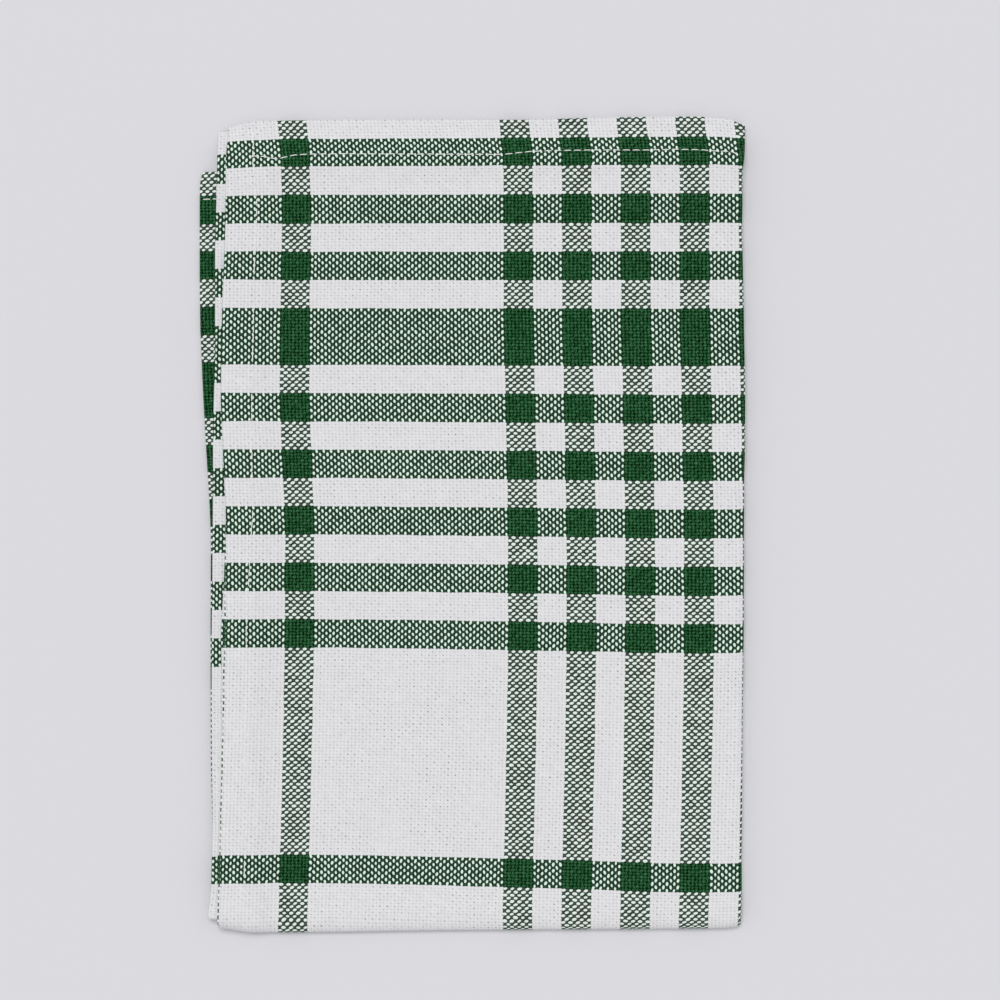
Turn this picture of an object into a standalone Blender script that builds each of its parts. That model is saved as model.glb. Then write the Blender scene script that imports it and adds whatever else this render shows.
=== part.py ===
# A woven cotton napkin with turned hems, folded in quarters and lying flat.
# Metres, +Z up. The origin is on the ground under the middle of the folded stack. +Y runs along the
# stack's longer side, and +X points to the fold that joins the upper two layers.
#
# The cloth is one sheet. It is folded once about a line on its right, then the doubled cloth is folded
# once about a line at its near side. From above the layers are the top, second, third and lowest.
# The top and second meet in the right fold, and so do the lowest and third. The top and lowest meet
# in the near fold, which runs round the fold that joins the second and third.

import bpy
import numpy as np

MM = 0.001

# The cloth
CLOTH_THICKNESS = 1.0 * MM
HEM_THICKNESS = 1.8 * MM  # the edge turned under twice, sewn and pressed
HEM_WIDTH = 15.5 * MM
HEM_STEP = 1.2 * MM  # from the turned part's end to the single cloth
LAYER_GAP = 0.5 * MM

# The folded stack
STACK_WIDTH = 227.0 * MM  # right fold to the top layer's side hem
STACK_LENGTH = 353.0 * MM  # near fold to the top layer's end hem
SETTLE = 17.0 * MM  # a layer comes down over this length past the edge of one below it
HEM_EASE = 9.0 * MM  # and over this length past the hem of one below it
LOOSENESS = 0.35 * MM  # the top layer's soft waves over the second

# The folds
FOLD_STEPS = 8  # faces round a bend
RIGHT_BEND = 2.4 * MM  # how far in from the right fold the upper layers start to curve
NEAR_BEND = 6.5 * MM  # the same for the near fold
INNER_BEND_IN = 6.0 * MM  # the second and third layers' bend starts this far in from the near fold
RIGHT_RISE = 1.0 * MM  # the springy cloth stands this much higher at its right fold, in each pair
NEAR_RISE = 0.9 * MM
RISE_LENGTH = 18.0 * MM

# Where the side hems end, beyond STACK_WIDTH, and how far the right fold strays, in mm.
# "along" is measured from the near fold.
SIDES = {
    "along": (0, 13, 30, 47, 73, 100, 126, 152, 178)
    + (195, 210, 230, 250, 278, 302, 330, 338, 347, 353),
    "top": (2.5, 2.5, 2.2, 1.3, 0.6, 0.0, -0.35, -0.65, -1.4)
    + (-0.5, 0.1, 1.0, 0.8, 0.2, -0.95, -1.25, -1.2, -1.7, -1.9),
    "second": (6.4, 5.2, 4.8, 4.6, 4.9, 5.0, 5.0, 4.7, 4.5)
    + (4.4, 4.4, 4.1, 3.5, 3.5, 3.5, 2.7, 2.6, 2.7, 2.8),
    "third": (5.0, 5.2, 5.2, 5.3, 5.6, 5.5, 5.8, 5.8, 5.9)
    + (6.5, 7.4, 8.5, 9.5, 10.6, 10.9, 10.9, 10.9, 10.8, 9.7),
    "lowest": (1.5, 0.8, 0.0, -1.0, -1.6, -2.0, -2.0, -2.0, -2.0)
    + (-1.8, -1.6, -1.5, -1.6, -1.9, -2.1, -2.4, -2.4, -2.5, -2.5),
    "fold": (-1.6, -1.3, -1.4, -1.2, -1.1, -0.9, -0.5, -0.4, -0.35)
    + (-0.3, 0.1, 0.2, -0.1, -0.6, -1.1, -1.2, -0.2, 0.4, 0.4),
}

# Where the end hems end, beyond STACK_LENGTH, and how far the near fold strays, in mm.
# "across" is measured from the right fold.
ENDS = {
    "across": (0, 4, 10, 17, 28, 62, 97, 136, 176, 202, 215, 227),
    "top": (-1.4, 0.7, 1.3, 2.0, 2.1, 1.6, 0.6, 0.8, 0.8, 0.3, 0.25, -2.6),
    "second": (-1.9, -1.4, -1.1, -0.9, -1.1, -1.7, -2.3, -2.9, -3.6, -4.1, -4.3, -4.5),
    "third": (-19.8, -19.8, -19.8, -19.9, -20.0, -20.3, -20.6, -20.9, -21.4, -21.7, -21.9, -22.1),
    "lowest": (-20.0, -19.9, -19.8, -19.7, -19.5, -19.1, -18.8, -18.5, -18.1, -17.9, -17.7, -17.5),
    "fold": (2.1, 1.1, 0.8, 0.7, 0.6, 0.35, 0.2, -0.1, -0.75, -0.95, -0.85, 0.9),
}

# From the ground up. The outer face of the cloth is down on the lowest and second.
LAYERS = ("lowest", "third", "second", "top")
FACE_UP = ("third", "top")

# Lines across one layer, in mm from its hem. They are close where the cloth bends.
SIDE_LINES = (0, 7.5, 15.5, 16.7, 21, 27, 36, 50, 72, 100, 130, 160, 188, 208, 219, 227)
END_LINES = (
    (0, 5, 10, 15.5, 16.7, 21, 26, 32, 38, 45, 53, 63, 76)
    + (94, 116, 142, 172, 204, 238, 272, 304, 328, 340, 347, 353)
)


def ease(amount):
    """From 0 to 1 with level ends."""
    amount = np.clip(amount, 0.0, 1.0)
    return amount * amount * (3.0 - 2.0 * amount)


def side_edge(layer, along):
    return STACK_WIDTH + MM * np.interp(along / MM, SIDES["along"], SIDES[layer])


def end_edge(layer, across):
    return STACK_LENGTH + MM * np.interp(across / MM, ENDS["across"], ENDS[layer])


def fold_lines(lines):
    """Lines over one whole fold: the first layer's, the bend's and the other layer's.

    Gives each line's distance from the fold, and its turn round the bend, from 0 on the first
    layer to 1 on the other.
    """
    flat = (lines[-1] - np.array(lines)) * MM
    bend = np.arange(1, FOLD_STEPS) / FOLD_STEPS
    reach = np.concatenate([flat, np.zeros(len(bend)), flat[::-1]])
    turn = np.concatenate([np.zeros(len(flat)), bend, np.ones(len(flat))])
    return reach, turn


def covers(layer, across, along):
    """1 over a layer, easing to 0 past its two hemmed edges."""
    past_side = (across - side_edge(layer, along)) / SETTLE
    past_end = (along - end_edge(layer, across)) / SETTLE
    return (1.0 - ease(past_side)) * (1.0 - ease(past_end))


def hemmed(layer, across, along):
    """1 on a layer's hems, easing to 0 further in."""
    from_side = side_edge(layer, along) - across
    from_end = end_edge(layer, across) - along
    past_hem = np.minimum(from_side, from_end) - HEM_WIDTH - HEM_STEP
    return 1.0 - ease(past_hem / HEM_EASE)


def gap_over(layer, across, along):
    """The room between a layer and the one above it."""
    right = 1.0 - ease(across / RISE_LENGTH)
    near = 1.0 - ease(along / RISE_LENGTH)
    gap = LAYER_GAP + NEAR_RISE * near / 3
    if layer != "third":  # these pairs meet in the right fold
        gap = gap + RIGHT_RISE * right * (1.0 - 0.6 * near)
    if layer == "second":
        wave = np.sin(along / (19.0 * MM) + across / (31.0 * MM)) * np.sin(across / (24.0 * MM) + 0.8)
        gap = gap + LOOSENESS * (1.0 + wave) / 2 * (1.0 - right) * (1.0 - near)
    return gap


def layer_heights(across, along):
    """Height of each layer's outer face, from what lies under it."""
    heights = {}
    under = np.zeros_like(across)
    for layer in LAYERS:
        thick = CLOTH_THICKNESS + (HEM_THICKNESS - CLOTH_THICKNESS) * hemmed(layer, across, along)
        heights[layer] = under + thick if layer in FACE_UP else under
        under = under + (thick + gap_over(layer, across, along)) * covers(layer, across, along)
    return heights


def fold_cloth(reach_x, turn_x, reach_y, turn_y):
    """Places points of the cloth's outer face, given their distance from each fold and their turn."""
    # A bend is half an ellipse: its level goes from 1 on the first layer to -1 on the other.
    level_x = np.cos(np.pi * turn_x)
    level_y = np.cos(np.pi * turn_y)
    out_x = np.sin(np.pi * turn_x)
    out_y = np.sin(np.pi * turn_y)
    weights = {
        "top": (1 + level_x) * (1 + level_y) / 4,
        "second": (1 - level_x) * (1 + level_y) / 4,
        "third": (1 - level_x) * (1 - level_y) / 4,
        "lowest": (1 + level_x) * (1 - level_y) / 4,
    }

    # Each layer is stretched from its folds to its own edges.
    part_x = reach_x / STACK_WIDTH
    part_y = reach_y / STACK_LENGTH
    across = sum(weights[layer] * part_x * side_edge(layer, reach_y) for layer in LAYERS)
    along = sum(weights[layer] * part_y * end_edge(layer, reach_x) for layer in LAYERS)
    heights = layer_heights(across, along)
    z = sum(weights[layer] * heights[layer] for layer in LAYERS)

    # The bends stand in front of the flat parts, which give them room. The outer near fold
    # goes part of the way round the right fold, so the stack's corner there is small.
    inner = (heights["second"] - heights["third"]) / 2
    inner_share = ((1 - level_x) / 2) ** 2
    bend_y = NEAR_BEND * (1 - inner_share) + inner * inner_share
    start_y = NEAR_BEND * (1 - inner_share) + INNER_BEND_IN * inner_share
    across = across + RIGHT_BEND * (1 - out_x) * (1 - part_x)
    along = along + start_y * (1 - part_y) - bend_y * out_y

    # The folds stray a little, and the layers near them go along.
    stray_x = MM * np.interp(along / MM, SIDES["along"], SIDES["fold"]) * (1 - part_x)
    stray_y = MM * np.interp(across / MM, ENDS["across"], ENDS["fold"]) * (1 - part_y)
    return stray_x - across, stray_y + along, z


def make_material():
    material = bpy.data.materials.new("checked_cotton")
    material.use_nodes = True
    surface = material.node_tree.nodes["Principled BSDF"]
    surface.inputs["Base Color"].default_value = (0.42, 0.52, 0.45, 1.0)
    surface.inputs["Roughness"].default_value = 0.9
    surface.inputs["Metallic"].default_value = 0.0
    return material


def make_napkin(collection):
    """Cuts the flat cloth into a grid along its lines, folds it and gives it its thickness."""
    reach_x, turn_x = fold_lines(SIDE_LINES)
    reach_y, turn_y = fold_lines(END_LINES)
    turn_y = turn_y[::-1]  # the rows run from the lowest layer's end to the top layer's

    columns = len(reach_x) - 1
    rows = len(reach_y) - 1
    bpy.ops.mesh.primitive_grid_add(x_subdivisions=columns, y_subdivisions=rows, size=2.0)
    napkin = bpy.context.object
    napkin.name = "napkin_cloth"
    for other in list(napkin.users_collection):
        other.objects.unlink(napkin)
    collection.objects.link(napkin)

    mesh = napkin.data
    grid = np.empty(len(mesh.vertices) * 3)
    mesh.vertices.foreach_get("co", grid)
    grid = grid.reshape(-1, 3)
    column = np.rint((grid[:, 0] + 1) / 2 * columns).astype(int)
    row = np.rint((grid[:, 1] + 1) / 2 * rows).astype(int)
    x, y, z = fold_cloth(reach_x[column], turn_x[column], reach_y[row], turn_y[row])

    # The origin goes under the middle of the stack.
    x = x - (x.max() + x.min()) / 2
    y = y - (y.max() + y.min()) / 2
    mesh.vertices.foreach_set("co", np.stack([x, y, z], 1).ravel())
    mesh.update()

    side_hem = STACK_WIDTH - reach_x[column] < HEM_WIDTH + HEM_STEP / 2
    end_hem = STACK_LENGTH - reach_y[row] < HEM_WIDTH + HEM_STEP / 2
    turned = napkin.vertex_groups.new(name="turned_hem")
    turned.add(np.flatnonzero(side_hem | end_hem).tolist(), 1.0, "REPLACE")

    # The thickness goes in from the outer face, and hems have more of it.
    thicken = napkin.modifiers.new("cloth_thickness", "SOLIDIFY")
    thicken.thickness = HEM_THICKNESS
    thicken.offset = -1.0
    thicken.vertex_group = "turned_hem"
    thicken.thickness_vertex_group = CLOTH_THICKNESS / HEM_THICKNESS
    thicken.use_rim = True

    mesh.materials.append(make_material())
    mesh.shade_smooth()
    return napkin


def main():
    for thing in list(bpy.data.objects):
        bpy.data.objects.remove(thing, do_unlink=True)
    collection = bpy.data.collections.new("cloth_napkin")
    bpy.context.scene.collection.children.link(collection)
    make_napkin(collection)


main()
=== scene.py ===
import math

import bpy
import numpy as np
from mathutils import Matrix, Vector


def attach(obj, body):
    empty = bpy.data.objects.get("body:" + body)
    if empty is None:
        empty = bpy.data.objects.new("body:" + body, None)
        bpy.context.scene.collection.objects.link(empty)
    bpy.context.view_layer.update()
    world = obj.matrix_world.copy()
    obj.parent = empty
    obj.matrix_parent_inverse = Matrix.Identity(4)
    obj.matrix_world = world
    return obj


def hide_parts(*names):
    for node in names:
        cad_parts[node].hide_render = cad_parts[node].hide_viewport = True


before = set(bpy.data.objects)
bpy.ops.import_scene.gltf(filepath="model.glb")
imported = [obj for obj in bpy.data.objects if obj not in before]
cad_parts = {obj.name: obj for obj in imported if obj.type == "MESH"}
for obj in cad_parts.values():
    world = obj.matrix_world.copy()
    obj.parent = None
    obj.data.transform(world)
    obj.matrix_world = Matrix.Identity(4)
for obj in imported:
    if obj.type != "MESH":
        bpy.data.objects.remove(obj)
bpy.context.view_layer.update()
mm = 0.001


def ease(amount):  # from 0 to 1 with level ends: 3a^2 - 2a^3
    amount = np.clip(amount, 0.0, 1.0)
    return amount * amount * (3.0 - 2.0 * amount)


def mixed(first, second, part):
    return first + (second - first) * part


class Signal:  # a shader socket that can stand in a sum
    tree = None  # the node tree that is being made

    def __init__(self, socket):
        self.socket = socket

    @staticmethod
    def node(kind, settings, inputs, output=0):  # any node: settings first, then values or links
        made = Signal.tree.nodes.new("ShaderNode" + kind)
        for name, value in settings.items():
            setattr(made, name, value)
        for name, value in inputs.items():
            if isinstance(value, Signal):
                Signal.tree.links.new(value.socket, made.inputs[name])
            else:
                made.inputs[name].default_value = value
        return Signal(made.outputs[output])

    @staticmethod
    def maths(operation, *values):
        return Signal.node("Math", {"operation": operation}, dict(enumerate(values)))

    def __add__(self, other):
        return Signal.maths("ADD", self, other)

    def __sub__(self, other):
        return Signal.maths("SUBTRACT", self, other)

    def __rsub__(self, other):
        return Signal.maths("SUBTRACT", other, self)

    def __mul__(self, other):
        return Signal.maths("MULTIPLY", self, other)

    def __truediv__(self, other):
        return Signal.maths("DIVIDE", self, other)

    def __gt__(self, other):
        return Signal.maths("GREATER_THAN", self, other)

    def __lt__(self, other):
        return Signal.maths("LESS_THAN", self, other)

    def __abs__(self):
        return Signal.maths("ABSOLUTE", self)

    __radd__ = __add__
    __rmul__ = __mul__

    def floor(self):
        return Signal.maths("FLOOR", self)

    def fraction(self):
        return Signal.maths("FRACT", self)

    def larger(self, other):
        return Signal.maths("MAXIMUM", self, other)

    def clipped(self):
        return Signal.node("Clamp", {}, {"Value": self})


def colourMix(factor, first, second, blend="MIX"):
    inputs = {"Factor": factor, 6: first, 7: second}
    return Signal.node("Mix", {"data_type": "RGBA", "blend_type": blend}, inputs, 2)


def scaled(colour, factor):
    return Signal.node("VectorMath", {"operation": "SCALE"}, {0: colour, "Scale": factor})


def paired(first, second):
    return Signal.node("CombineXYZ", {}, {0: first, 1: second})


def softNoise(first, second, detail=1.0):  # about 0.5, smooth, one change in each unit
    inputs = {"Vector": paired(first, second), "Scale": 1.0, "Detail": detail}
    return Signal.node("TexNoise", {"noise_dimensions": "2D"}, inputs)


def chance(first, second):  # an even chance from 0 to 1 for each pair of whole numbers
    return Signal.node("TexWhiteNoise", {"noise_dimensions": "2D"}, {"Vector": paired(first, second)})


def startMaterial(name, roughness, specular):  # nodes made after this go into its tree
    material = bpy.data.materials.new(name)
    material.use_nodes = True
    Signal.tree = material.node_tree
    surface = material.node_tree.nodes["Principled BSDF"]
    surface.inputs["Roughness"].default_value = roughness
    surface.inputs["Specular IOR Level"].default_value = specular
    return material, surface


weave = {
    # green stripes, counted in threads from the middle thread of the cloth, on both sides of it
    "middleWarp": 146,
    "greenWarps": ((-4, 4), (12, 20), (28, 36), (44, 52), (60, 68), (122, 130)),
    "greenEdge": (292, 300),  # counted from the first warp
    "dottedEdge": (-0.74, -0.34),  # a thin green thread that comes and goes
    "dottedWefts": (112, 400),  # where it shows, counted from the first weft
    "middleWeft": 252,
    "greenWefts": (
        (9, 18), (84, 93), (102, 111), (120, 129), (138, 147), (156, 165), (174, 192),
        (201, 210), (219, 228), (237, 246),
    ),
    "white": (0.797, 0.797, 0.818, 1.0),
    "darkGreen": (0.003, 0.067, 0.015, 1.0),  # the fibres of green cloth, darkest and lightest
    "lightGreen": (0.058, 0.182, 0.083, 1.0),
    # a white thread on a green one, tinted green partly by dye and partly by painted light reflected off
    # the green thread
    "whiteWarp": (0.77, 0.94, 0.82, 1.0),
    "whiteWeft": (0.80, 0.90, 0.83, 1.0),
    # a green thread on a white one, darkened by painted shade where it lies low between the white threads
    "shadedGreenWarp": (0.060, 0.090, 0.070, 1.0),
    "shadedGreenWeft": (0.028, 0.069, 0.039, 1.0),
    # half sizes of the part of a thread that lies on top, in threads across and along it
    "warpFloat": (0.365, 0.66),
    "weftFloat": (0.50, 0.665),
    "uneven": 0.40,  # how uneven these ovals are
    "skew": 0.45,  # how far they lean either way
    "twist": 0.13,  # and how far all those of the wefts lean one way
    "edges": (2.1, 1.15),  # how sharply a white and a green thread stand out from the painted shade of the gaps
    "gaps": 0.45,  # how light the painted shade in the gaps between white and green threads is
    "seams": 0.16,  # how dark the painted shade on the lines between closed-up white threads is
    "pinholes": 0.62,  # how dark the painted shade in the pinholes of the white cloth is
    "pinholeSize": 0.085,  # the square of their half width, in threads
    "lesserPinholes": 0.55,  # every other column's share of that darkness
    "wander": 0.35,  # how far threads stray, in threads
    "whiteness": (0.955, 0.07, 0.02),  # its least share of the colour, its slow and its quick changes
    # changes of a slow noise for each thread passed
    "wanderPace": (0.35, 0.11),
    "mottlePace": (1.3, 1.5),
    "patchPace": (0.06, 0.09),
    "tonePace": 0.45,
    "fibrePace": (3.1, 3.7),
    "roughness": 0.95,
    "specular": 0.02,
    "relief": 0.30,  # depth of the weave, in mm
}


def within(count, ends):  # 1 where a count lies between two ends
    return (count > ends[0]) * (count < ends[1])


# 1 on the stripes of a table, which lie alike on both sides of the middle thread.
def stripes(number, middle, table):
    fromMiddle = abs(number + (0.5 - middle))
    bands = [within(fromMiddle, ends) for ends in table]
    return sum(bands[1:], bands[0])


# A thread shows as a row of ovals, where it passes over every other crossing thread. An oval's height is
# about 1, less the squares of the distances across and along it, each over its half size. Gives the
# height and each oval's chance.
def threadOvals(count, crossing, shift, series, halfSizes, twist):
    number = count.floor()
    turn = (crossing - number + shift) / 2.0
    luck = chance(number, turn.floor() + series)
    ahead = turn.fraction() * 2.0 - 1.0  # from -1 to 1 along an oval
    lean = ((luck * 7.3).fraction() - 0.5) * weave["skew"] + twist
    aside = (count - number - 0.5 + ahead * lean) / halfSizes[0]
    onward = ahead / halfSizes[1]
    height = 1.0 - weave["uneven"] / 2 + luck * weave["uneven"] - aside * aside - onward * onward
    return height, luck


# All-white cloth closes up but for a round pinhole at the corners of every other thread, lesser in every
# other column, and more open in some places than in others. Painted shade darkens it to the pinhole's
# middle, by the square of the distance, and a little along the seams between threads.
def whiteShade(across, along, warp, weft, top):
    column = (warp + 0.5).floor()
    row = (weft + 0.5).floor()
    asideColumn = warp - column
    asideRow = weft - row
    apart = (asideColumn * asideColumn + asideRow * asideRow * 0.8) / weave["pinholeSize"]
    closed = ((column + row) / 2.0).fraction() * 2.0
    lesser = (column / 2.0).fraction() * 2.0 * (1.0 - weave["lesserPinholes"])
    pace = weave["patchPace"]
    patchy = (softNoise(across * pace[0] + 7.0, along * pace[1]) * 2.4 - 0.6).clipped()
    opening = (1.0 - closed) * (1.0 - lesser) * (0.3 + chance(column, row) * 0.7)
    opening = opening * (0.45 + patchy * 0.55)
    # painted shade along the seams, where the threads' tops fall away
    seam = (0.45 - top).clipped() * weave["seams"]
    return 1.0 - (1.0 - apart).clipped() * opening * weave["pinholes"] - seam


def makeCheckedCotton():
    material, surface = startMaterial("checkedCotton", weave["roughness"], weave["specular"])

    # the map "threads" counts warps along its first number and wefts along its second
    threads = Signal.node("UVMap", {"uv_map": "threads"}, {})
    across = Signal.node("SeparateXYZ", {}, {"Vector": threads}, 0)
    along = Signal.node("SeparateXYZ", {}, {"Vector": threads}, 1)
    slow, slower = weave["wanderPace"]
    warp = across + (softNoise(across * slow, along * slower) - 0.5) * weave["wander"]
    weft = along + (softNoise(along * slow + 40.0, across * slower) - 0.5) * weave["wander"]

    warpGreen = stripes(warp.floor(), weave["middleWarp"], weave["greenWarps"])
    dotted = 0.6 + (softNoise(along * 0.09, across * 0.05) * 1.6 - 0.5).clipped()
    warpGreen = warpGreen + within(warp, weave["greenEdge"])
    dotted = dotted.clipped() * within(along, weave["dottedWefts"])
    warpGreen = warpGreen + within(warp, weave["dottedEdge"]) * dotted
    weftGreen = stripes(weft.floor(), weave["middleWeft"], weave["greenWefts"])

    warpHeight, warpLuck = threadOvals(warp, weft, 0.5, 0.0, weave["warpFloat"], 0.0)
    weftHeight, weftLuck = threadOvals(weft, warp, -0.5, 900.0, weave["weftFloat"], weave["twist"])
    top = warpHeight.larger(weftHeight)
    weftOver = weftHeight > warpHeight

    # colour of the thread on top, and painted shade for the gap between threads
    pace = weave["mottlePace"]
    mottle = (softNoise(across * pace[0] + 3.0, along * pace[1], 2.0) * 2.0 - 0.5).clipped()
    green = colourMix(mottle, weave["darkGreen"], weave["lightGreen"])
    # a white thread crossing green ones is tinted green, partly by dye and partly by painted reflected
    # light
    warpWhite = colourMix(weftGreen, weave["white"], weave["whiteWarp"])
    weftWhite = colourMix(warpGreen, weave["white"], weave["whiteWeft"])
    # a green thread crossing white ones takes the painted shade colour of a green thread on a white one
    warpDark = colourMix(weftGreen, weave["shadedGreenWarp"], green)
    weftDark = colourMix(warpGreen, weave["shadedGreenWeft"], green)
    warpColour = colourMix(warpGreen, warpWhite, warpDark)
    weftColour = colourMix(weftGreen, weftWhite, weftDark)
    topColour = colourMix(weftOver, warpColour, weftColour)
    topGreen = mixed(warpGreen, weftGreen, weftOver)
    # painted shade in the gaps: the two threads' colours multiplied, lighter where a white and a green
    # thread meet
    gapShadeTone = 1.0 - abs(warpGreen - weftGreen) * (1.0 - weave["gaps"])
    gapShadeColour = scaled(colourMix(1.0, warpColour, weftColour, "MULTIPLY"), gapShadeTone)
    # painted shade: each thread darkens from its top down its sides into the gap
    filled = (top * mixed(weave["edges"][0], weave["edges"][1], topGreen)).clipped()
    colour = colourMix(1.0 - filled, topColour, gapShadeColour)

    white = (1.0 - warpGreen) * (1.0 - weftGreen)
    whiteCloth = scaled(weave["white"][:3], whiteShade(across, along, warp, weft, top))
    least, slowChange, quickChange = weave["whiteness"]
    tone = least + softNoise(across * weave["tonePace"], along * weave["tonePace"], 2.0) * slowChange
    tone = tone + (warpLuck + weftLuck - 1.0) * quickChange
    colour = scaled(colourMix(white, colour, whiteCloth), tone)
    Signal.tree.links.new(colour.socket, surface.inputs["Base Color"])

    pace = weave["fibrePace"]
    fibre = softNoise(across * pace[0], along * pace[1], 3.0)
    height = top.larger(-0.4) * (1.0 - white * 0.5) + fibre * 0.25
    inputs = {"Height": height, "Distance": weave["relief"] * mm, "Strength": 0.5}
    bump = Signal.node("Bump", {}, inputs)
    Signal.tree.links.new(bump.socket, surface.inputs["Normal"])
    return material


cloth = {  # mm
    "clothThickness": 1.0,
    "hemThickness": 1.8,
    "hemWidth": 15.5,
    "hemStep": 1.2,
    "layerGap": 0.5,
    "stackWidth": 227.0,
    "stackLength": 353.0,
    "settle": 17.0,
    "hemEase": 9.0,
    "looseness": 0.35,  # the height of slow waves of the top layer, and their lengths
    "waveLengths": (19.0, 31.0, 24.0),
    "rightBend": 2.4,
    "nearBend": 6.5,
    "innerBendIn": 6.0,
    "rightRise": 1.0,
    "nearRise": 0.9,
    "riseLength": 18.0,
    "foldSteps": 16,
    "flatSize": (460.0, 690.0),
}

# where the side hems end past stackWidth and how far the right fold strays, from the near fold
sides = {
    "along": (0, 13, 30, 47, 73, 100, 126, 152, 178)
    + (195, 210, 230, 250, 278, 302, 330, 338, 347, 353),
    "top": (2.5, 2.5, 2.2, 1.3, 0.9, 0.5, 0.9, -0.5, -1.4)
    + (-0.5, 0.1, 1.0, 0.8, 0.2, -0.95, -1.25, -1.2, -1.7, -1.9),
    "second": (6.4, 5.2, 4.8, 4.6, 4.9, 5.0, 5.0, 4.7, 4.5)
    + (4.4, 4.4, 4.1, 3.5, 3.5, 3.5, 2.7, 2.6, 2.7, 2.8),
    "third": (5.0, 5.2, 5.2, 5.3, 5.9, 6.0, 6.1, 6.0, 5.9)
    + (6.5, 7.4, 8.5, 9.5, 10.6, 10.9, 10.9, 10.9, 10.8, 9.7),
    "lowest": (1.5, 0.8, 0.0, -1.0, -1.6, -2.0, -2.0, -2.0, -2.0)
    + (-1.8, -1.6, -1.5, -1.6, -1.9, -2.1, -2.4, -2.4, -2.5, -2.5),
    "fold": (-1.6, -1.3, -1.4, -1.2, -1.1, -0.9, -0.5, -0.4, -0.35)
    + (-0.3, 0.1, 0.2, -0.1, -0.6, -1.1, -1.2, -0.2, 0.4, 0.4),
}

# the same for the end hems past stackLength and the near fold, from the right fold
ends = {
    "across": (0, 4, 10, 17, 28, 62, 97, 136, 176, 202, 215, 227),
    "top": (-1.4, 0.7, 1.3, 2.0, 2.1, 1.6, 0.6, 0.8, 0.8, 0.3, 0.25, -2.6),
    "second": (-1.9, -1.4, -1.1, -0.9, -1.1, -1.7, -2.3, -2.9, -3.6, -4.1, -4.3, -4.5),
    "third": (-19.8, -19.8, -19.8, -19.9, -20.0, -20.3, -20.6, -20.9, -21.4, -21.7, -21.9, -22.1),
    "lowest": (-20.0, -19.9, -19.8, -19.7, -19.5, -19.1, -18.8, -18.5, -18.1, -17.9, -17.7, -17.5),
    "fold": (2.1, 1.1, 0.8, 0.7, 0.6, 0.35, 0.2, -0.1, -0.75, -0.95, -0.85, 0.9),
}

layers = ("lowest", "third", "second", "top")  # from the ground up
faceUp = ("third", "top")  # the outer face of the cloth is down on the other two
hemLines = (0, 0.1, 0.3, 0.6, 0.9, 1.5, 3, 5, 7.5, 10, 12.5, 14.5, 15.4, 15.8, 16.2, 16.7, 17.5, 19)
foldedLines = (15, 12, 9, 6, 3, 0)  # the last lines before a fold


def sideEdge(layer, along):
    return cloth["stackWidth"] + np.interp(along, sides["along"], sides[layer])


def endEdge(layer, across):
    return cloth["stackLength"] + np.interp(across, ends["across"], ends[layer])


# Lines over one whole fold, close at the hems and the bend: each line's distance from the fold, and
# its turn round the bend, from 0 on the first layer to 1 on the other.
def foldLines(length, middle):
    flat = [hemLines, np.linspace(21.0, length - 18.0, middle), length - np.array(foldedLines)]
    reach = length - np.concatenate(flat)
    steps = cloth["foldSteps"]
    bend = np.arange(1, steps) / steps
    reaches = np.concatenate([reach, np.zeros(len(bend)), reach[::-1]])
    turns = np.concatenate([np.zeros(len(reach)), bend, np.ones(len(reach))])
    return reaches, turns


def covers(layer, across, along):  # 1 over a layer, easing to 0 past its two hemmed edges
    pastSide = (across - sideEdge(layer, along)) / cloth["settle"]
    pastEnd = (along - endEdge(layer, across)) / cloth["settle"]
    return (1 - ease(pastSide)) * (1 - ease(pastEnd))


def hemmed(layer, across, along):  # 1 on a layer's hems, easing to 0 further in
    fromEdge = np.minimum(sideEdge(layer, along) - across, endEdge(layer, across) - along)
    return 1 - ease((fromEdge - cloth["hemWidth"] - cloth["hemStep"]) / cloth["hemEase"])


# The room between a layer and the next: layerGap, wider by a third of nearRise at the near fold. Over all
# but the third layer it is wider by rightRise at the right fold, less six tenths of that where the folds
# meet. Under the top layer it rises by looseness times half of one plus a product of two sine waves, away
# from both folds.
def gapOver(layer, across, along):
    right = 1 - ease(across / cloth["riseLength"])
    near = 1 - ease(along / cloth["riseLength"])
    gap = cloth["layerGap"] + cloth["nearRise"] * near / 3
    if layer != "third":
        gap = gap + cloth["rightRise"] * right * (1 - 0.6 * near)
    if layer == "second":
        first, second, third = cloth["waveLengths"]
        wave = np.sin(along / first + across / second) * np.sin(across / third + 0.8)
        gap = gap + cloth["looseness"] * (1 + wave) / 2 * (1 - right) * (1 - near)
    return gap


def layerHeights(across, along):  # each layer's outer face lies on all that is under it
    heights = {}
    under = np.zeros_like(across)
    for layer in layers:
        extra = cloth["hemThickness"] - cloth["clothThickness"]
        thick = cloth["clothThickness"] + extra * hemmed(layer, across, along)
        heights[layer] = under + thick if layer in faceUp else under
        under = under + (thick + gapOver(layer, across, along)) * covers(layer, across, along)
    return heights


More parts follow.
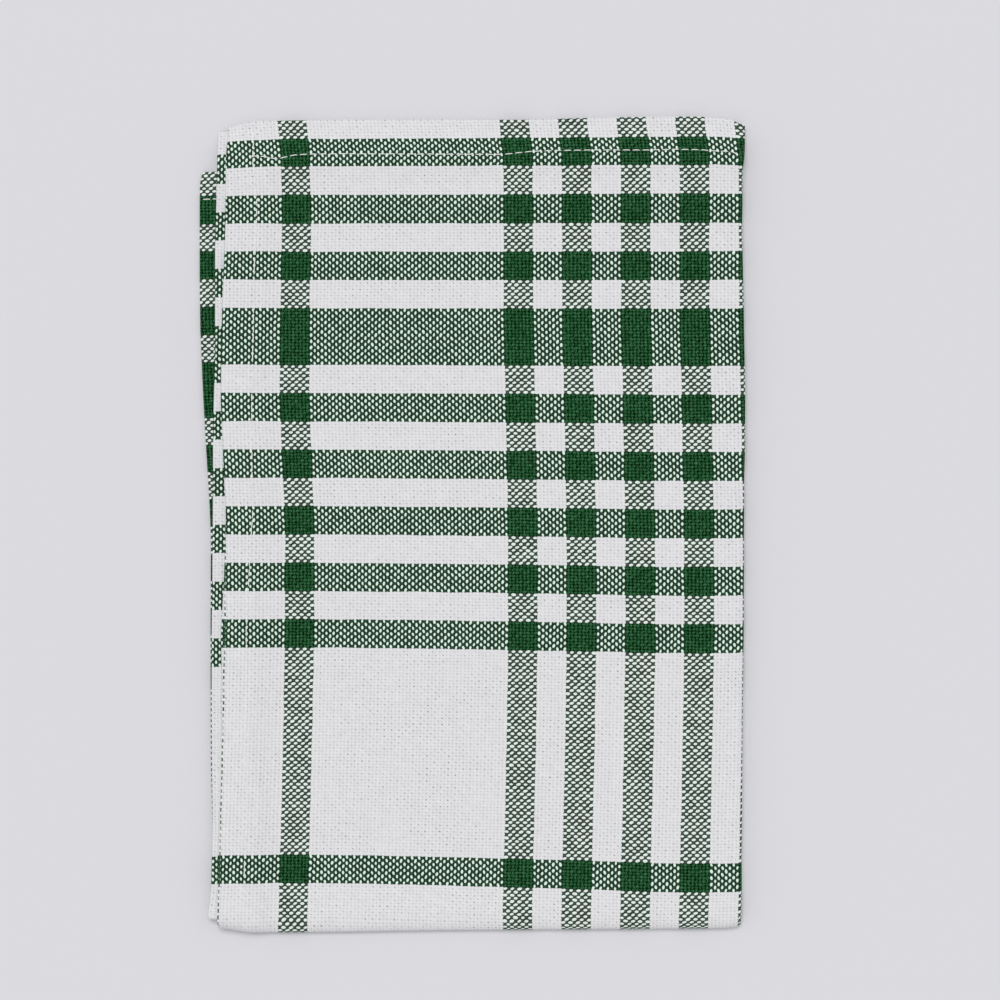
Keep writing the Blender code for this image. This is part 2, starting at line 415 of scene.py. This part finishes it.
# Places points of the outer face, given in mm from each fold and by their turn round its bend. A bend
# is half an ellipse, and the four layers are blended by how far round both bends a point is.
def foldCloth(reachX, turnX, reachY, turnY):
    levelX, outX = np.cos(np.pi * turnX), np.sin(np.pi * turnX)
    levelY, outY = np.cos(np.pi * turnY), np.sin(np.pi * turnY)
    weights = {
        "top": (1 + levelX) * (1 + levelY) / 4,
        "second": (1 - levelX) * (1 + levelY) / 4,
        "third": (1 - levelX) * (1 - levelY) / 4,
        "lowest": (1 + levelX) * (1 - levelY) / 4,
    }
    partX = reachX / cloth["stackWidth"]
    partY = reachY / cloth["stackLength"]
    across = sum(weights[layer] * partX * sideEdge(layer, reachY) for layer in layers)
    along = sum(weights[layer] * partY * endEdge(layer, reachX) for layer in layers)
    heights = layerHeights(across, along)
    z = sum(weights[layer] * heights[layer] for layer in layers)

    inner = (heights["second"] - heights["third"]) / 2
    innerShare = ((1 - levelX) / 2) ** 2
    bendY = mixed(cloth["nearBend"], inner, innerShare)
    startY = mixed(cloth["nearBend"], cloth["innerBendIn"], innerShare)
    across = across + cloth["rightBend"] * (1 - outX) * (1 - partX)
    along = along + startY * (1 - partY) - bendY * outY
    strayX = np.interp(along, sides["along"], sides["fold"]) * (1 - partX)
    strayY = np.interp(across, ends["across"], ends["fold"]) * (1 - partY)
    return np.stack([strayX - across, strayY + along, z], -1)


# How the threads of the top layer lie, in mm from the middle of the stack. They are evenly spaced, but
# for a few slow changes, chosen and rounded from thread places that were measured in the photograph.
lay = {
    "straightWarp": 82,  # the warp that the others are counted from
    "straightX": 21.0,
    "rightPitch": 1.60,  # from warp to warp, to its right
    "leftWarps": 62,  # and to its left so many warps span leftSpan
    "strayY": (-175, -100, -50, 0, 54, 90, 160, 176),
    "stray": (-1.4, 0.3, 1.1, 1.0, 0.0, -0.8, -1.1, -2.8),  # how far all the warps bow to the right
    "spanY": (-175, 0, 54, 97, 135, 176),
    "leftSpan": (97.6, 97.0, 98.2, 97.1, 96.3, 96.8),
    "topY": 176.3,
    "weftPitch": 1.372,
    "skewX": (-107, -60, -14, 38, 78, 99, 117),
    "skew": (0.35, 0.3, 0.0, -0.45, -0.9, -1.0, -0.85),  # how a weft leans across the stack
    "skewTurn": (-0.8, 0.016),  # how much it leans at the end hem, and more with each weft
    "dipX": (-107, -96, -80, 108, 117),
    "dip": (-1.8, -0.8, 0.0, 0.0, -0.9),  # how the wefts bend down at the hemmed corners
    "dipWefts": 42,
}
# wefts at the side edges of the two layers under it, by y, rounded from places measured in the photograph
sideWefts = {
    "second": ((-175, -146, -62, 172), (257.0, 235.0, 168.0, -2.4)),
    "third": ((-168, -72, 45, 154), (255.0, 336.0, 425.0, 506.0)),
}
sideWarps = {"second": 301.0, "third": 296.8, "lowest": 0.0}  # warps at their side edges
bendWarps = 4.4  # warps round the right fold
lowestWefts = (264.7, 504.0)  # from the near fold to the end hem


# Warp and weft numbers of points of the top layer. A warp's is its distance from the straight warp over
# the pitch. A weft's is its distance from the end hem over the pitch, with the lean and the corners' dip
# added, which the plain number gives.
def topThreads(points):
    x, y = points[..., 0], points[..., 1]
    aside = x - lay["straightX"] - np.interp(y, lay["strayY"], lay["stray"])
    leftPitch = np.interp(y, lay["spanY"], lay["leftSpan"]) / lay["leftWarps"]
    warp = lay["straightWarp"] + aside / np.where(aside < 0, leftPitch, lay["rightPitch"])

    plain = (lay["topY"] - y) / lay["weftPitch"]
    turn = lay["skewTurn"][0] + lay["skewTurn"][1] * plain
    lean = turn * np.interp(x, lay["skewX"], lay["skew"])
    dip = np.interp(x, lay["dipX"], lay["dip"]) * np.clip(1 - plain / lay["dipWefts"], 0, 1)
    return warp, plain + (lean + dip) / lay["weftPitch"]


# Warp and weft numbers at each point of the outer face. Layers meet in equal numbers at the folds.
def threadNumbers(reachX, turnX, reachY, turnY, offset):
    zero, one = np.zeros_like(reachX), np.ones_like(reachX)
    partX = reachX / cloth["stackWidth"]
    partY = reachY / cloth["stackLength"]
    top = foldCloth(reachX, zero, reachY, zero) + offset
    second = foldCloth(reachX, one, reachY, zero) + offset
    third = foldCloth(reachX, one, reachY, one) + offset
    rightFold = foldCloth(zero, zero, reachY, zero) + offset
    topWarp, topWeft = topThreads(top)
    foldWarp, foldWeft = topThreads(rightFold)

    secondWarp = mixed(foldWarp + bendWarps, sideWarps["second"], partX)
    thirdWarp = mixed(foldWarp + bendWarps, sideWarps["third"], partX)
    lowestWarp = mixed(foldWarp, sideWarps["lowest"], partX)
    lowestWeft = mixed(lowestWefts[0], lowestWefts[1], partY)
    secondWeft = mixed(foldWeft, np.interp(second[..., 1], *sideWefts["second"]), partX)
    thirdWeft = mixed(lowestWeft, np.interp(third[..., 1], *sideWefts["third"]), ease(partX * 2))

    warp = mixed(mixed(topWarp, secondWarp, turnX), mixed(lowestWarp, thirdWarp, turnX), turnY)
    weft = mixed(mixed(topWeft, secondWeft, turnX), mixed(lowestWeft, thirdWeft, turnX), turnY)
    return warp, weft


def unitNormals(points):  # square to the steps to the next points along both lines
    stepX = np.gradient(points, axis=1)
    stepY = np.gradient(points, axis=0)
    normals = np.cross(stepX, stepY)
    return normals / np.linalg.norm(normals, axis=-1, keepdims=True)


def gridFaces(numbers):  # corners of each cell of a grid of vertex numbers
    corners = [numbers[:-1, :-1], numbers[:-1, 1:], numbers[1:, 1:], numbers[1:, :-1]]
    return np.stack(corners, -1).reshape(-1, 4)


def addMesh(name, points, faces, material):
    mesh = bpy.data.meshes.new(name)
    mesh.from_pydata(points.tolist(), [], faces.tolist())
    mesh.materials.append(material)
    mesh.shade_smooth()
    made = bpy.data.objects.new(name, mesh)
    bpy.context.scene.collection.objects.link(made)
    return made


def clothGrid():
    linesX, turnsX = foldLines(cloth["stackWidth"], 54)
    linesY, turnsY = foldLines(cloth["stackLength"], 88)
    turnsY = turnsY[::-1]  # the rows run from the lowest layer's end to the top layer's
    reachY, reachX = np.meshgrid(linesY, linesX, indexing="ij")
    turnY, turnX = np.meshgrid(turnsY, turnsX, indexing="ij")
    return reachX, turnX, reachY, turnY


def stackOffset(points):  # brings the middle of the stack over the origin
    low, high = points.reshape(-1, 3).min(0), points.reshape(-1, 3).max(0)
    middle = (low + high) / 2
    return np.array([-middle[0], -middle[1], 0.0])


# The cloth is its outer face and an inner face that follows it at the cloth's thickness along the
# normal. Both close in on the middle of the thickness in a quarter round at the hemmed edges.
def makeNapkin(material):
    grid = clothGrid()
    reachX, turnX, reachY, turnY = grid
    outer = foldCloth(*grid)
    offset = stackOffset(outer)
    outer = outer + offset
    normals = unitNormals(outer)

    depthX = cloth["stackWidth"] - reachX
    depthY = cloth["stackLength"] - reachY
    depth = np.minimum(depthX, depthY)
    extra = cloth["hemThickness"] - cloth["clothThickness"]
    thick = cloth["clothThickness"] + extra * (1 - ease((depth - cloth["hemWidth"]) / cloth["hemStep"]))
    radius = cloth["hemThickness"] / 2
    half = thick / 2 * np.sqrt(1 - np.clip(1 - depth / radius, 0, 1) ** 2)
    middle = outer - normals * (thick / 2)[..., None]
    outerFace = middle + normals * half[..., None]
    innerFace = middle - normals * half[..., None]
    outerFace[..., 2] = np.maximum(outerFace[..., 2], 0.0)

    rows, columns = reachX.shape
    outerNumbers = np.arange(rows * columns).reshape(rows, columns)
    innerNumbers = outerNumbers.copy()
    inside = np.arange((rows - 2) * (columns - 2)).reshape(rows - 2, columns - 2)
    innerNumbers[1:-1, 1:-1] = rows * columns + inside
    points = np.concatenate([outerFace.reshape(-1, 3), innerFace[1:-1, 1:-1].reshape(-1, 3)]) * mm
    faces = np.concatenate([gridFaces(outerNumbers), gridFaces(innerNumbers)[:, ::-1]])
    made = addMesh("napkin", points, faces, material)

    # thread numbers: on the inner face the turned hems count on past the edge
    warp, weft = threadNumbers(*grid, offset)
    warpFlap = np.where(turnX < 0.5, 2 * warp[:, :1] - warp, 2 * warp[:, -1:] - warp)
    weftFlap = np.where(turnY > 0.5, 2 * weft[:1] - weft, 2 * weft[-1:] - weft)
    hemEnd = cloth["hemWidth"] + cloth["hemStep"] + 0.1
    cells = gridFaces(outerNumbers)
    inSide = (depthX.ravel()[cells].max(1) < hemEnd)[:, None]
    inEnd = (depthY.ravel()[cells].max(1) < hemEnd)[:, None] & ~inSide
    outerUV = np.stack([warp.ravel()[cells], weft.ravel()[cells]], -1)
    innerWarp = np.where(inSide, warpFlap.ravel()[cells], warp.ravel()[cells])
    innerWeft = np.where(inEnd, weftFlap.ravel()[cells], weft.ravel()[cells])
    innerUV = np.stack([innerWarp, innerWeft], -1)[:, ::-1]
    layer = made.data.uv_layers.new(name="threads")
    layer.data.foreach_set("uv", np.concatenate([outerUV, innerUV]).astype(np.float32).ravel())
    return made, offset


print("cloth")
checkedCotton = makeCheckedCotton()
napkin, stackShift = makeNapkin(checkedCotton)
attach(napkin, "root")
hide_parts("napkin_cloth")

stitches = {
    "pitch": 4.3,  # mm
    "length": 3.75,
    "radius": 0.24,
    "rise": 0.20,  # how high the middle of a stitch's thread lies over the cloth
    "colour": (0.92, 0.92, 0.92, 1.0),
    "shadeColour": (0.83, 0.84, 0.83, 1.0),  # between its plies
    "topRun": 215.0,  # how far those of the top layer's end hem run, to those of its side hem
}
# depth of the stitch line from the hem's edge, along the end from the right fold and along the side
# from the near fold
endStitches = (
    (0, 4, 10, 27, 41, 80, 91, 96, 104)
    + (136, 190, 195, 201, 203, 209, 215, 227, 230),
    (14.8, 15.0, 15.5, 15.35, 15.5, 14.8, 14.9, 15.25, 16.2)
    + (16.2, 15.9, 16.1, 17.3, 17.9, 16.7, 16.4, 16.3, 12.3),
)
sideStitches = (
    (0, 25, 65, 125, 160, 195, 230, 260, 282, 318, 331, 353),
    (12.0, 12.0, 11.3, 11.3, 11.1, 12.4, 13.7, 14.1, 13.6, 14.0, 12.2, 11.6),
)


def makeThread():
    material, surface = startMaterial("whiteThread", 0.7, 0.3)
    place = Signal.node("TexCoord", {}, {}, 3)  # Object coordinates
    ply = Signal.node("TexNoise", {}, {"Vector": place, "Scale": 2500.0, "Detail": 2.0})
    shade = colourMix(ply, stitches["shadeColour"], stitches["colour"])
    Signal.tree.links.new(shade.socket, surface.inputs["Base Color"])
    bump = Signal.node("Bump", {}, {"Height": ply, "Distance": 0.1 * mm, "Strength": 0.6})
    Signal.tree.links.new(bump.socket, surface.inputs["Normal"])
    return material


# Outer face and its normal at places given by layer and by mm from the right and near folds.
def layerPlaces(layer, across, along):
    turnX = np.full_like(across, 1.0 if layer in ("second", "third") else 0.0)
    turnY = np.full_like(across, 1.0 if layer in ("third", "lowest") else 0.0)
    reachX = across / sideEdge(layer, along) * cloth["stackWidth"]
    reachY = along / endEdge(layer, across) * cloth["stackLength"]
    here = foldCloth(reachX, turnX, reachY, turnY)
    stepX = foldCloth(reachX + 0.5, turnX, reachY, turnY) - here
    stepY = foldCloth(reachX, turnX, reachY + 0.5, turnY) - here
    normal = np.cross(stepX, stepY)
    normal = normal / np.linalg.norm(normal, axis=-1, keepdims=True)
    up = 1.0 if layer in faceUp else -1.0
    normal = normal * (np.sign(normal[..., 2:]) * up)
    return here + stackShift, normal


# A stitch is a tube along a low arch: it dips into the cloth at both ends, where it is thinnest.
def stitchTubes(layer, across, along):
    turn = (np.arange(6) / 6 * 2 * np.pi)[:, None]
    places, normals = layerPlaces(layer, across, along)  # stitches, points along, 3
    steps = np.linspace(-1, 1, across.shape[1])
    rise = stitches["rise"] - (stitches["rise"] + stitches["radius"]) * steps**4
    width = stitches["radius"] * (1 - 0.55 * steps**6)
    centres = places + normals * rise[None, :, None]
    ahead = np.gradient(centres, axis=1)
    ahead = ahead / np.linalg.norm(ahead, axis=-1, keepdims=True)
    sideways = np.cross(ahead, normals)
    ring = np.cos(turn) * sideways[:, :, None] + np.sin(turn) * normals[:, :, None]
    tubes = centres[:, :, None] + ring * width[None, :, None, None]
    tubes[..., 2] = np.maximum(tubes[..., 2], 0.0)  # those on the ground lie flat on it
    return tubes


def stitchRun(layer, side):
    length = endEdge(layer, 200.0) if side else sideEdge(layer, endEdge(layer, 200.0))
    if layer == "top" and not side:
        length = stitches["topRun"]
    count = int(length / stitches["pitch"])
    starts = (np.arange(count) + 0.55) * stitches["pitch"]
    steps = np.linspace(-0.5, 0.5, 6)
    along = starts[:, None] + steps[None, :] * stitches["length"]
    if side:
        depth = np.interp(along, *sideStitches)
        return stitchTubes(layer, sideEdge(layer, along) - depth, along)
    depth = np.interp(along, *endStitches)
    return stitchTubes(layer, along, endEdge(layer, along) - depth)


def makeStitches(material):
    tubes = [stitchRun(layer, side) for layer in layers for side in (False, True)]
    tubes = np.concatenate(tubes)
    count, points, around = tubes.shape[:3]
    numbers = np.arange(count * points * around).reshape(count, points, around)
    nextAround = np.roll(numbers, -1, axis=2)
    walls = np.stack([numbers[:, :-1], nextAround[:, :-1], nextAround[:, 1:], numbers[:, 1:]], -1)
    caps = np.concatenate([numbers[:, 0, ::-1], numbers[:, -1]])
    faces = walls.reshape(-1, 4).tolist() + caps.tolist()
    mesh = bpy.data.meshes.new("hemStitches")
    mesh.from_pydata((tubes.reshape(-1, 3) * mm).tolist(), [], faces)
    mesh.materials.append(material)
    mesh.shade_smooth()
    made = bpy.data.objects.new("hemStitches", mesh)
    bpy.context.scene.collection.objects.link(made)
    return made


print("stitches")
hemStitches = makeStitches(makeThread())
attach(hemStitches, "root")

studio = {
    "floorColour": (0.745, 0.74, 0.775, 1.0),
    "worldColour": (1.0, 1.0, 1.0, 1.0),
    "worldStrength": 0.52,
    "lampFrom": (-0.07, 0.32, 1.0),  # a broad, even light from overhead
    "lampSpread": 30.0,  # degrees
    "lampPower": 1.44,
    "viewCentre": (12.2, 10.6),  # mm from the middle of the stack
    "viewWidth": 435.0,  # mm across the picture, at the top layer
    "viewDistance": 1200.0,
    "topHeight": 6.5,
}


def makeStudio():
    scene = bpy.context.scene
    floor, surface = startMaterial("paleFloor", 0.9, 0.1)
    surface.inputs["Base Color"].default_value = studio["floorColour"]
    corners = np.array([(-4, -4, 0), (4, -4, 0), (4, 4, 0), (-4, 4, 0)], float)
    addMesh("paleFloor", corners, np.array([[0, 1, 2, 3]]), floor)

    world = bpy.data.worlds.new("studio")
    world.use_nodes = True
    world.node_tree.nodes["Background"].inputs["Color"].default_value = studio["worldColour"]
    world.node_tree.nodes["Background"].inputs["Strength"].default_value = studio["worldStrength"]
    scene.world = world
    light = bpy.data.lights.new("softLamp", "SUN")
    light.angle = math.radians(studio["lampSpread"])
    light.energy = studio["lampPower"]
    lamp = bpy.data.objects.new("softLamp", light)
    lamp.location = studio["lampFrom"]
    lamp.rotation_euler = Vector(studio["lampFrom"]).to_track_quat("Z", "Y").to_euler()
    scene.collection.objects.link(lamp)

    camera = bpy.data.cameras.new("overhead")
    camera.sensor_width = 36.0
    camera.lens = camera.sensor_width * studio["viewDistance"] / studio["viewWidth"]
    camera.clip_end = 20.0
    eye = bpy.data.objects.new("overhead", camera)
    x, y = studio["viewCentre"]
    eye.location = (x * mm, y * mm, (studio["viewDistance"] + studio["topHeight"]) * mm)
    scene.collection.objects.link(eye)
    scene.camera = eye
    scene.view_settings.view_transform = "Standard"


print("studio")
makeStudio()
